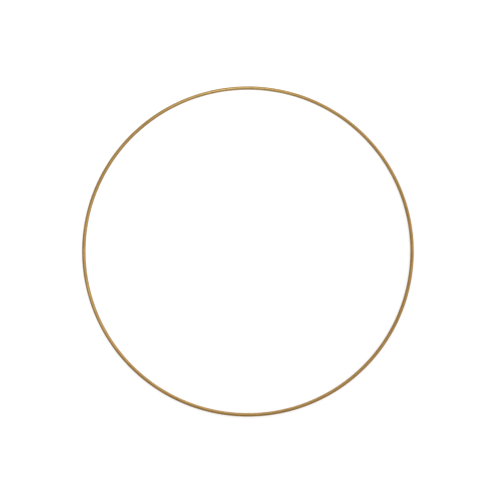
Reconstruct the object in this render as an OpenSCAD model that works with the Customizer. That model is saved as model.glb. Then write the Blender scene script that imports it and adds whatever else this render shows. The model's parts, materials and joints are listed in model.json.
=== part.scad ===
// Wreath frame: a round hoop of steel wire, closed by a butt weld and coated gold all over.
// The hoop lies flat: its centre is the origin, its axis is +Z, and +Y is the side it hangs from.

/* [Hoop] */
// Outer diameter of the finished hoop
hoop_outer_d = 300; // [100:5:600]
// Thickness of the finished wire, over its coat
wire_d = 3.2; // [2:0.1:6]

/* [Coat] */
// Thickness of the gold coat
coat_t = 0.08; // [0.06:0.01:0.2]

/* [Weld] */
// Place of the weld, in degrees counter-clockwise from +X
weld_angle = 158; // [0:1:359]
// Length of wire that the weld joins, between the two cut ends
weld_len = 3; // [2.5:0.1:5]
// Length of the swollen collar over the weld
collar_len = 2.2; // [1.5:0.1:2.3]
// Height of the collar above the bare wire
collar_rise = 0.14; // [0.08:0.01:0.2]
// Height that is left of the collar where the hoop's two faces are dressed
dressed_rise = 0.03; // [0.02:0.01:0.06]

/* [Hidden] */

$fn = 96;
// Radius of the wire's centreline
hoop_r = (hoop_outer_d - wire_d) / 2;
// Radius of the wire under its coat
bare_r = wire_d / 2 - coat_t;
// Side of the blocks that cut the wire, well clear of it
block_w = 3 * wire_d;
// Red, green and blue of the three metals
gold_colour = [0.62, 0.49, 0.26];
steel_colour = [0.58, 0.58, 0.60];
weld_colour = [0.38, 0.36, 0.35];

// A closed hoop of round stock.
module hoop(stock_r) {
    rotate_extrude() translate([hoop_r, 0]) circle(r = stock_r);
}

// Puts its children at the weld, with +Y along the wire and +X away from the hoop's centre.
module at_weld() {
    rotate(weld_angle) translate([hoop_r, 0, 0]) children();
}

// The stretch of the hoop between the two cut ends, with room all round the wire.
module weld_zone() {
    at_weld() cube([block_w, weld_len, block_w], center = true);
}

// Half of the collar's outline, grown by a skin: an arc that sinks into the wire at both ends.
module collar_outline(skin) {
    half_len = collar_len / 2;
    arc_r = (half_len * half_len + collar_rise * collar_rise) / (2 * collar_rise);
    top_r = bare_r + collar_rise;
    intersection() {
        translate([top_r - arc_r, 0]) circle(r = arc_r + skin);
        translate([0, -weld_len / 2]) square([top_r + skin, weld_len]);
    }
}

// The swollen collar over the weld, dressed flat on the hoop's two faces.
module collar(skin) {
    dressed_r = bare_r + dressed_rise + skin;
    at_weld() intersection() {
        rotate([90, 0, 0]) rotate_extrude() collar_outline(skin);
        cube([block_w, weld_len, 2 * dressed_r], center = true);
    }
}

// The wire, bent round to a hoop with a gap between its square-cut ends.
module steel_wire() {
    color(steel_colour) difference() {
        hoop(bare_r);
        weld_zone();
    }
}

// The slug of forged metal that fills the gap and swells out as a low collar.
module butt_weld() {
    color(weld_colour) union() {
        intersection() {
            hoop(bare_r);
            weld_zone();
        }
        collar(0);
    }
}

// The finish: one closed skin over the wire and the weld.
module gold_coat() {
    color(gold_colour) difference() {
        union() {
            hoop(bare_r + coat_t);
            collar(coat_t);
        }
        union() {
            hoop(bare_r);
            collar(0);
        }
    }
}

steel_wire();
butt_weld();
gold_coat();
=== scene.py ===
"""Wreath frame: a hoop of steel wire, butt-welded closed and finished in satin gold, on a pale floor.

Each piece is made as a stretch of straight wire and then bent round the hoop, so that the bare wire,
the weld and the gold coat share one centreline with the CAD.
"""

import json
import math

import bpy
import numpy as np
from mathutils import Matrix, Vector


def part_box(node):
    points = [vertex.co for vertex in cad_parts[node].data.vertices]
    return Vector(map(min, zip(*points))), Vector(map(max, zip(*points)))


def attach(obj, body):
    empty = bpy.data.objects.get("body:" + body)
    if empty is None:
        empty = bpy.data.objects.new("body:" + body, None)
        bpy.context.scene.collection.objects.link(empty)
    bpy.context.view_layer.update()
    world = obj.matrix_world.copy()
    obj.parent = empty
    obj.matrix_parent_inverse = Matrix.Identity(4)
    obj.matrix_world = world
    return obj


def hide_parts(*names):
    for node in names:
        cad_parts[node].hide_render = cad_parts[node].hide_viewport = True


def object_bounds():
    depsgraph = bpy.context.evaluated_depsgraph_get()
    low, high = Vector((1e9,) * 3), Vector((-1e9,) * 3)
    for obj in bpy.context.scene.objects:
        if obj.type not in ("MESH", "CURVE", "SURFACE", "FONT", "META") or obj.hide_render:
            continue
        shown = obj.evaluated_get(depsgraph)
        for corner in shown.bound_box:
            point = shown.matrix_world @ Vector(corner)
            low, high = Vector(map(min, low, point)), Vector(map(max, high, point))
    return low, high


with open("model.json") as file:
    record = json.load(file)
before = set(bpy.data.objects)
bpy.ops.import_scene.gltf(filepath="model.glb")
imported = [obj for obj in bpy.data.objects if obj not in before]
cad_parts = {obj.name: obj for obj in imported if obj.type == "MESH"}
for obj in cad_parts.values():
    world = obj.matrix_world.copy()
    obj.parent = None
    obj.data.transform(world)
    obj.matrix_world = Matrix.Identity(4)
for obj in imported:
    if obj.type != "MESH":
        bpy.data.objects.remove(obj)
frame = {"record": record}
cad_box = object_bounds()

# ------------------------------------------------------------ sizes in metres, from the frame
MM = 0.001
mounts = {m["name"]: m for m in frame["record"]["mounts"]}
coat_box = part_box("gold_coat")
weld_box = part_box("butt_weld")

wire_r = mounts["hanging_point"]["dims"]["r_mm"] * MM
hoop_r = min(coat_box[1].x, coat_box[1].y) - wire_r
hoop_length = 2 * math.pi * hoop_r
coat_t = coat_box[1].z - weld_box[1].z
bare_r = wire_r - coat_t
dressed_r = weld_box[1].z
weld_middle = (weld_box[0] + weld_box[1]) / 2
weld_angle = math.atan2(weld_middle.y, weld_middle.x)
floor_z = cad_box[0].z

# The weld's own sizes, as in the CAD
weld_len = 3.0 * MM
collar_len = 2.2 * MM
collar_rise = 0.14 * MM


def add_object(name, data):
    """A new object in the scene's own collection."""
    made = bpy.data.objects.new(name, data)
    bpy.context.scene.collection.objects.link(made)
    return made


# ------------------------------------------------------------ camera
LENS_MM = 85.0
SENSOR_MM = 36.0
CAMERA_DISTANCE = 1.0676
CAMERA_TILT = math.radians(5.26)
# The point of the hoop's plane in the middle of the picture
AIM = Vector((0.00187, -0.00063, 0.0))


def make_camera():
    """Looks down on the hoop, from a little towards the bottom of the picture."""
    data = bpy.data.cameras.new("camera")
    data.lens = LENS_MM
    data.sensor_width = SENSOR_MM
    camera = add_object("camera", data)
    towards_camera = Vector((0.0, -math.sin(CAMERA_TILT), math.cos(CAMERA_TILT)))
    camera.location = AIM + CAMERA_DISTANCE * towards_camera
    camera.rotation_euler = (CAMERA_TILT, 0.0, 0.0)
    bpy.context.scene.camera = camera


# ------------------------------------------------------------ the wire's surface
# Faces round the wire
SIDES = 64
# The texture map holds the hoop's length as a stack of rows
ROWS = 10
STEPS_PER_ROW = 48
FINE_STEP = 0.06 * MM
# How softly the collar runs into the wire, and its dressed flats into its sides
CREASE = 0.012 * MM
# Heights in the map are whole steps, so that no edge of a row falls inside a texel
MAP_STEP = 1 / 1024
ROW_PITCH = 100 * MAP_STEP
ROW_HEIGHT = 92 * MAP_STEP
# Where the map keeps faces that are hidden inside the coat
HIDDEN_LOW = 1008 * MAP_STEP
HIDDEN_HIGH = 1022 * MAP_STEP
MAP_NAME = "OFBake"


def larger(a, b):
    """The larger of two lengths, rounded off where they cross."""
    return (a + b + np.hypot(a - b, CREASE)) / 2


def smaller(a, b):
    """The smaller of two lengths, rounded off where they cross."""
    return -larger(-a, -b)


def wire_stations(start):
    """Distances along the wire from the weld's middle: even steps, with fine ones over the weld."""
    even = np.linspace(0.0, hoop_length, ROWS * STEPS_PER_ROW + 1)
    fine = np.arange(0.0, weld_len / 2, FINE_STEP)
    stations = np.unique(np.concatenate([even, fine, hoop_length - fine]))
    between = stations[(stations > start) & (stations < hoop_length - start)]
    return np.concatenate([[start], between, [hoop_length - start]])


def section_radius(along, skin):
    """Radius of the wire at each station. The weld's collar is an arc that stands out of it."""
    from_weld = np.minimum(np.abs(along), hoop_length - np.abs(along))
    half = collar_len / 2
    arc_r = (half * half + collar_rise * collar_rise) / (2 * collar_rise)
    arc_middle = bare_r + collar_rise - arc_r
    collar = arc_middle + np.sqrt(np.maximum((arc_r + skin) ** 2 - from_weld ** 2, 0.0))
    return larger(bare_r + skin, collar)


def straight_wire(along, skin):
    """Points of the straight wire's surface as [station, side, (along, outwards, upwards)]."""
    around = 2 * math.pi * np.arange(SIDES) / SIDES
    radius = section_radius(along, skin)[:, None]
    outwards = radius * np.cos(around)
    upwards = radius * np.sin(around)
    upwards = np.sign(upwards) * smaller(np.abs(upwards), dressed_r + skin)
    return np.stack([np.broadcast_to(along[:, None], outwards.shape), outwards, upwards], axis=-1)


def bend(straight):
    """Where points of the straight wire lie once it is bent round the hoop."""
    angle = weld_angle + straight[..., 0] / hoop_r
    reach = hoop_r + straight[..., 1]
    return np.stack([reach * np.cos(angle), reach * np.sin(angle), straight[..., 2]], axis=-1)


class Wire:
    """One piece in the making: points, faces, and for each face corner its straight place and map."""

    def __init__(self):
        self.points = []
        self.faces = []
        self.straight = []
        self.maps = []
        self.smooth = []

    def add_tube(self, along, skin, closed=False, inside_out=False, hidden=False):
        """A tube through the stations. Returns the straight points and the first point's number."""
        straight = straight_wire(along, skin)
        rings = len(along) - 1 if closed else len(along)
        first = len(self.points)
        self.points.extend(bend(straight[:rings]).reshape(-1, 3).tolist())
        station, side = np.meshgrid(np.arange(len(along) - 1), np.arange(SIDES), indexing="ij")
        corners = [(station, side), (station + 1, side), (station + 1, side + 1), (station, side + 1)]
        if inside_out:
            corners.reverse()
        numbers = [first + (i % rings) * SIDES + j % SIDES for i, j in corners]
        places = [straight[i, j % SIDES] for i, j in corners]
        maps = [self.map_of(along, station, i, j, hidden) for i, j in corners]
        self.faces.extend(np.stack(numbers, -1).reshape(-1, 4).tolist())
        self.straight.append(np.stack(places, -2).reshape(-1, 3))
        self.maps.append(np.stack(maps, -2).reshape(-1, 2))
        self.smooth.extend([True] * station.size)
        return straight, first

    @staticmethod
    def map_of(along, station, i, j, hidden):
        """Where corners lie on the texture map: rows of the wire unrolled, one above the other."""
        middle = (along[station] + along[station + 1]) / 2
        places = np.mod(middle, hoop_length) / hoop_length * ROWS
        row = np.floor(places)
        u = places - row + (along[i] - middle) / hoop_length * ROWS
        if hidden:
            return np.stack([u, HIDDEN_LOW + (HIDDEN_HIGH - HIDDEN_LOW) * j / SIDES], -1)
        return np.stack([u, row * ROW_PITCH + j / SIDES * ROW_HEIGHT], -1)

    def add_end(self, straight, first, station, forwards):
        """Closes a tube with a flat face at one of its stations."""
        order = np.arange(SIDES)[:: -1 if forwards else 1]
        numbers = first + (station % len(straight)) * SIDES + order
        ring = straight[station, order]
        reach = (HIDDEN_HIGH - HIDDEN_LOW) / 2
        middle = HIDDEN_LOW + reach
        self.faces.append(numbers.tolist())
        self.straight.append(ring)
        self.maps.append(middle + reach * ring[:, 1:] / (2 * bare_r))
        self.smooth.append(False)

    def build(self, name, material, replaced):
        """Makes the object, and ties it to the CAD."""
        mesh = bpy.data.meshes.new(name)
        mesh.from_pydata(self.points, [], self.faces)
        mesh.polygons.foreach_set("use_smooth", self.smooth)
        straight = mesh.attributes.new("straight", "FLOAT_VECTOR", "CORNER")
        straight.data.foreach_set("vector", np.concatenate(self.straight).ravel())
        layer = mesh.uv_layers.new(name=MAP_NAME)
        layer.data.foreach_set("uv", np.concatenate(self.maps).ravel())
        mesh.materials.append(material)
        mesh.update()
        piece = add_object(name, mesh)
        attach(piece, "root")
        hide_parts(replaced)
        return piece


# ------------------------------------------------------------ materials
class Shader:
    """A material's node tree, with short ways to add nodes and join them."""

    def __init__(self, name):
        self.material = bpy.data.materials.new(name)
        self.material.use_nodes = True
        self.tree = self.material.node_tree
        self.tree.nodes.clear()
        self.surface = self.add("BsdfPrincipled")
        self.join(self.surface.outputs["BSDF"], self.add("OutputMaterial").inputs["Surface"])

    def add(self, kind, **settings):
        node = self.tree.nodes.new("ShaderNode" + kind)
        for key, value in settings.items():
            setattr(node, key, value)
        return node

    def join(self, source, target):
        self.tree.links.new(source, target)

    def feed(self, node, **inputs):
        """Sets or joins a node's inputs, named in lower case with underscores."""
        sockets = {socket.name.lower().replace(" ", "_"): socket for socket in reversed(node.inputs)}
        for key, value in inputs.items():
            if isinstance(value, bpy.types.NodeSocket):
                self.join(value, sockets[key])
            else:
                sockets[key].default_value = value
        return node

    def straight_place(self, along, across):
        """The surface point on the straight wire, in patterns per metre along and across it."""
        place = self.add("Attribute", attribute_name="straight")
        scaled = self.add("VectorMath", operation="MULTIPLY")
        self.join(place.outputs["Vector"], scaled.inputs[0])
        scaled.inputs[1].default_value = (along, across, across)
        return scaled.outputs["Vector"]

    def noise(self, along, across, detail=2.0, roughness=0.5):
        """Soft noise, from about 0.2 to 0.8, with so many patches per metre along and across."""
        texture = self.add("TexNoise")
        self.feed(texture, vector=self.straight_place(along, across), scale=1.0)
        self.feed(texture, detail=detail, roughness=roughness)
        return texture.outputs["Fac"]

    def cells(self, per_metre):
        """Random cells. Their Distance is to the cell's middle, in cells, and each has its own Color."""
        texture = self.add("TexVoronoi")
        self.feed(texture, vector=self.straight_place(per_metre, per_metre), scale=1.0)
        return texture.outputs

    def die_lines(self):
        """Long fine lines that the drawing die left along the wire."""
        return self.noise(28.0, 5200.0, detail=3.0, roughness=0.6)

    def from_weld(self):
        """Distance along the wire from the middle of the weld, in metres."""
        split = self.add("SeparateXYZ")
        self.join(self.straight_place(1.0, 1.0), split.inputs["Vector"])
        fold = self.add("Math", operation="PINGPONG")
        self.join(split.outputs["X"], fold.inputs[0])
        fold.inputs[1].default_value = hoop_length / 2
        return fold.outputs[0]

    def spread(self, value, low, high, low_out=0.0, high_out=1.0):
        """Maps a value's range to another, held at both ends."""
        node = self.add("MapRange", clamp=True)
        self.feed(node, value=value, from_min=low, from_max=high, to_min=low_out, to_max=high_out)
        return node.outputs["Result"]

    def mixed(self, share, first, second):
        """A mix of two colours, each a socket or red, green and blue."""
        node = self.add("Mix", data_type="RGBA")
        self.join(share, node.inputs["Factor"])
        # A mix node has inputs A and B for each kind of value. These are the ones for colours
        for value, socket in ((first, node.inputs[6]), (second, node.inputs[7])):
            if isinstance(value, bpy.types.NodeSocket):
                self.join(value, socket)
            else:
                socket.default_value = (*value, 1.0)
        return node.outputs[2]

    def combined(self, operation, *values):
        """The sum or the product of values."""
        total = values[0]
        for value in values[1:]:
            node = self.add("Math", operation=operation)
            self.join(total, node.inputs[0])
            self.join(value, node.inputs[1])
            total = node.outputs[0]
        return total

    def bump(self, height, depth, under=None):
        """A bump whose full height is a depth in metres, on top of another."""
        node = self.add("Bump")
        self.feed(node, height=height, distance=depth, strength=1.0)
        if under is not None:
            self.join(under, node.inputs["Normal"])
        return node.outputs["Normal"]


# Colours as red, green and blue: the gold where it is clouded, where clear, and in its bright flakes
GOLD_DEEP = (0.272, 0.148, 0.036)
GOLD_LIGHT = (0.340, 0.190, 0.052)
GOLD_BRIGHT = (0.455, 0.28, 0.10)
# Keeps the rim of the wire golden, where a plain metal would turn white
GOLD_RIM = (0.75, 0.55, 0.25)
STEEL_DARK = (0.36, 0.36, 0.37)
STEEL_BRIGHT = (0.47, 0.47, 0.47)
WELD_SCALED = (0.16, 0.15, 0.16)
WELD_GROUND = (0.34, 0.30, 0.26)


def gold_finish():
    """Satin gold paint over drawn wire: metal flake, die lines, orange peel, nibs and light rubbing."""
    s = Shader("gold_finish")
    flake = s.spread(s.cells(7000.0)["Color"], 0.0, 1.0)
    die_lines = s.die_lines()
    orange_peel = s.noise(900.0, 900.0, detail=1.0)
    clouds = s.noise(90.0, 320.0, detail=3.0)
    rubbing = s.spread(s.noise(55.0, 420.0, detail=4.0, roughness=0.62), 0.58, 0.70)
    nibs = s.spread(s.cells(330.0)["Distance"], 0.02, 0.07, 1.0, 0.0)
    at_weld = s.spread(s.from_weld(), 1.0 * MM, 3.5 * MM, 1.0, 0.0)
    grinding = s.combined("MULTIPLY", s.noise(7000.0, 500.0, detail=3.0, roughness=0.6), at_weld)

    colour = s.mixed(s.spread(clouds, 0.3, 0.7), GOLD_DEEP, GOLD_LIGHT)
    colour = s.mixed(s.spread(flake, 0.5, 1.0, 0.0, 0.5), colour, GOLD_BRIGHT)
    colour = s.mixed(s.spread(rubbing, 0.0, 1.0, 0.0, 0.45), colour, GOLD_BRIGHT)
    metallic = s.spread(flake, 0.2, 0.9, 0.45, 0.95)
    roughness = s.combined(
        "ADD",
        s.spread(die_lines, 0.3, 0.7, 0.36, 0.46),
        s.spread(flake, 0.0, 1.0, -0.05, 0.05),
        s.spread(rubbing, 0.0, 1.0, 0.0, -0.10),
    )
    normal = s.bump(orange_peel, 0.030 * MM)
    normal = s.bump(die_lines, 0.010 * MM, under=normal)
    normal = s.bump(grinding, 0.020 * MM, under=normal)
    normal = s.bump(nibs, 0.020 * MM, under=normal)
    normal = s.bump(flake, 0.003 * MM, under=normal)
    s.feed(s.surface, base_color=colour, metallic=metallic, roughness=roughness, normal=normal)
    s.feed(s.surface, specular_ior_level=0.25, specular_tint=(*GOLD_RIM, 1.0))
    s.feed(s.surface, coat_weight=0.4, coat_roughness=0.35)
    return s.material


def drawn_steel():
    """Bare drawn steel wire, under the coat: long die lines and a little scale."""
    s = Shader("drawn_steel")
    die_lines = s.die_lines()
    scale = s.noise(260.0, 900.0, detail=4.0)
    colour = s.mixed(s.spread(scale, 0.35, 0.65), STEEL_DARK, STEEL_BRIGHT)
    roughness = s.spread(die_lines, 0.3, 0.7, 0.30, 0.48)
    normal = s.bump(die_lines, 0.008 * MM)
    s.feed(s.surface, base_color=colour, metallic=1.0, roughness=roughness, normal=normal)
    return s.material


def weld_metal():
    """Forged weld metal, under the coat: grinding marks across the wire and dark heat scale."""
    s = Shader("weld_metal")
    grinding = s.noise(9000.0, 300.0, detail=3.0, roughness=0.6)
    heat = s.noise(700.0, 500.0, detail=3.0)
    colour = s.mixed(s.spread(heat, 0.35, 0.65), WELD_SCALED, WELD_GROUND)
    roughness = s.spread(grinding, 0.3, 0.7, 0.42, 0.62)
    normal = s.bump(grinding, 0.01 * MM)
    s.feed(s.surface, base_color=colour, metallic=0.95, roughness=roughness, normal=normal)
    return s.material


# ------------------------------------------------------------ the three pieces
def make_steel_wire():
    wire = Wire()
    straight, first = wire.add_tube(wire_stations(weld_len / 2), 0.0)
    wire.add_end(straight, first, 0, forwards=False)
    wire.add_end(straight, first, -1, forwards=True)
    return wire.build("bent_steel_wire", drawn_steel(), "steel_wire")


def make_butt_weld():
    slug = Wire()
    steps = 2 * round(weld_len / 2 / FINE_STEP)
    straight, first = slug.add_tube(np.linspace(-weld_len / 2, weld_len / 2, steps + 1), 0.0)
    slug.add_end(straight, first, 0, forwards=False)
    slug.add_end(straight, first, -1, forwards=True)
    return slug.build("forged_weld", weld_metal(), "butt_weld")


def make_gold_coat():
    coat = Wire()
    along = wire_stations(0.0)
    coat.add_tube(along, coat_t, closed=True)
    coat.add_tube(along, 0.0, closed=True, inside_out=True, hidden=True)
    return coat.build("gold_finish_coat", gold_finish(), "gold_coat")


# ------------------------------------------------------------ studio
FLOOR_RADIUS = 8.0
FLOOR_SIDES = 96
# The share of light that the floor returns, and the light of its own: together just over white
FLOOR_ALBEDO = 0.40
FLOOR_GLOW = 0.65
# The brightest part of the studio is overhead, leaning to the upper right of the picture
KEY_DIRECTION = Vector((0.80, 0.60, 1.0)).normalized()
KEY_LIGHT = 1.7
SURROUND_LIGHT = 0.45
# How far the key reaches, as the cosine of the angle from its direction
KEY_EDGE = 0.3
# Pale walls stand along the horizon. They fade out between two heights of a direction
WALL_LIGHT = 1.02
WALL_FADE_START = 0.18
WALL_FADE_END = 0.36
# Small softboxes close over the hoop's top and left. They are cooler than the rest of the light
TOP_BOX = (-0.01, 0.15, 0.13)
TOP_POWER = 0.17
LEFT_BOX = (-0.16, -0.04, 0.15)
LEFT_POWER = 0.07
BOX_SIZE = 0.07
BOX_COLOUR = (0.66, 0.88, 1.0)


def make_floor():
    """A round, pale, matt floor, lit from within enough to stay white."""
    around = 2 * math.pi * np.arange(FLOOR_SIDES) / FLOOR_SIDES
    heights = np.full(FLOOR_SIDES, floor_z)
    rim = np.stack([FLOOR_RADIUS * np.cos(around), FLOOR_RADIUS * np.sin(around), heights], -1)
    mesh = bpy.data.meshes.new("floor")
    mesh.from_pydata(rim.tolist(), [], [list(range(FLOOR_SIDES))])
    material = bpy.data.materials.new("floor_white")
    material.use_nodes = True
    surface = material.node_tree.nodes["Principled BSDF"]
    surface.inputs["Base Color"].default_value = (FLOOR_ALBEDO, FLOOR_ALBEDO, FLOOR_ALBEDO, 1.0)
    surface.inputs["Roughness"].default_value = 1.0
    surface.inputs["Specular IOR Level"].default_value = 0.0
    surface.inputs["Emission Color"].default_value = (1.0, 1.0, 1.0, 1.0)
    surface.inputs["Emission Strength"].default_value = FLOOR_GLOW
    mesh.materials.append(material)
    add_object("floor", mesh)


def fade(tree, value, start, end, light_at_start, light_at_end):
    """Light that changes softly as a value goes from a start to an end."""
    node = tree.nodes.new("ShaderNodeMapRange")
    node.interpolation_type = "SMOOTHSTEP"
    tree.links.new(value, node.inputs["Value"])
    node.inputs["From Min"].default_value = start
    node.inputs["From Max"].default_value = end
    node.inputs["To Min"].default_value = light_at_start
    node.inputs["To Max"].default_value = light_at_end
    return node.outputs["Result"]


def make_world():
    """A soft studio: a broad light overhead, pale walls along the horizon, and dimmer light between."""
    world = bpy.data.worlds.new("studio")
    bpy.context.scene.world = world
    world.use_nodes = True
    tree = world.node_tree
    direction = tree.nodes.new("ShaderNodeTexCoord").outputs["Generated"]

    towards_key = tree.nodes.new("ShaderNodeVectorMath")
    towards_key.operation = "DOT_PRODUCT"
    towards_key.inputs[1].default_value = KEY_DIRECTION
    tree.links.new(direction, towards_key.inputs[0])
    key = fade(tree, towards_key.outputs["Value"], KEY_EDGE, 1.0, SURROUND_LIGHT, KEY_LIGHT)

    split = tree.nodes.new("ShaderNodeSeparateXYZ")
    tree.links.new(direction, split.inputs["Vector"])
    wall_light = WALL_LIGHT - SURROUND_LIGHT
    walls = fade(tree, split.outputs["Z"], WALL_FADE_START, WALL_FADE_END, wall_light, 0.0)

    both = tree.nodes.new("ShaderNodeMath")
    both.operation = "ADD"
    tree.links.new(key, both.inputs[0])
    tree.links.new(walls, both.inputs[1])
    background = tree.nodes["Background"]
    background.inputs["Color"].default_value = (1.0, 1.0, 1.0, 1.0)
    tree.links.new(both.outputs[0], background.inputs["Strength"])


def make_softbox(name, place, power):
    """A small square light close over the hoop, turned to the hoop's centre."""
    data = bpy.data.lights.new(name, "AREA")
    data.size = BOX_SIZE
    data.energy = power
    data.color = BOX_COLOUR
    light = add_object(name, data)
    light.location = place
    light.rotation_euler = (-Vector(place)).to_track_quat("-Z", "Y").to_euler()


make_camera()
make_steel_wire()
make_butt_weld()
make_gold_coat()
make_floor()
make_world()
make_softbox("top_softbox", TOP_BOX, TOP_POWER)
make_softbox("left_softbox", LEFT_BOX, LEFT_POWER)
bpy.context.scene.view_settings.view_transform = "Standard"
